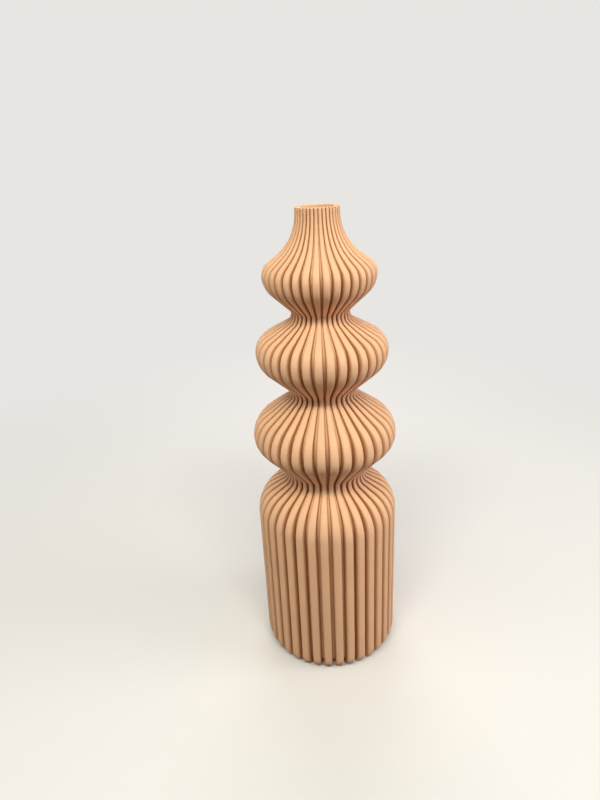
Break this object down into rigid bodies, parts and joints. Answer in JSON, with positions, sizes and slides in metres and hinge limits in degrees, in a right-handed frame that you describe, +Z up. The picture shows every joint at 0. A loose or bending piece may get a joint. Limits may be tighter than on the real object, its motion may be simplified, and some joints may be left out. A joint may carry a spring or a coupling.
{
  "type": "ribbed gourd vase",
  "caption": "Tall narrow-mouthed vase of stacked gourd bulbs on a drum, fluted from rim to foot, with a lift-out glass tube inside the mouth that holds water and flower stems.",
  "frame": {"origin": "centre of the flat underside, on the vase's axis", "axes": "+Z up along the vase's axis, -Y towards the front, +X to the right seen from the front"},
  "size_m": [0.0766, 0.0766, 0.25],
  "materials": {
    "vase_body": "matte, warm beige printed plastic with faint layer lines",
    "tube_glass": "clear, polished"
  },
  "bodies": {
    "vase": {"foot_drum": "vase_body", "lower_bulb": "vase_body", "middle_bulb": "vase_body", "upper_bulb": "vase_body"},
    "water_tube": {"water_tube": "tube_glass"}
  },
  "joints": [
    {"name": "tube_lift", "type": "slide", "parent": "vase", "child": "water_tube", "axis": [0, 0, 1], "range_m": [0, 0.105]}
  ]
}
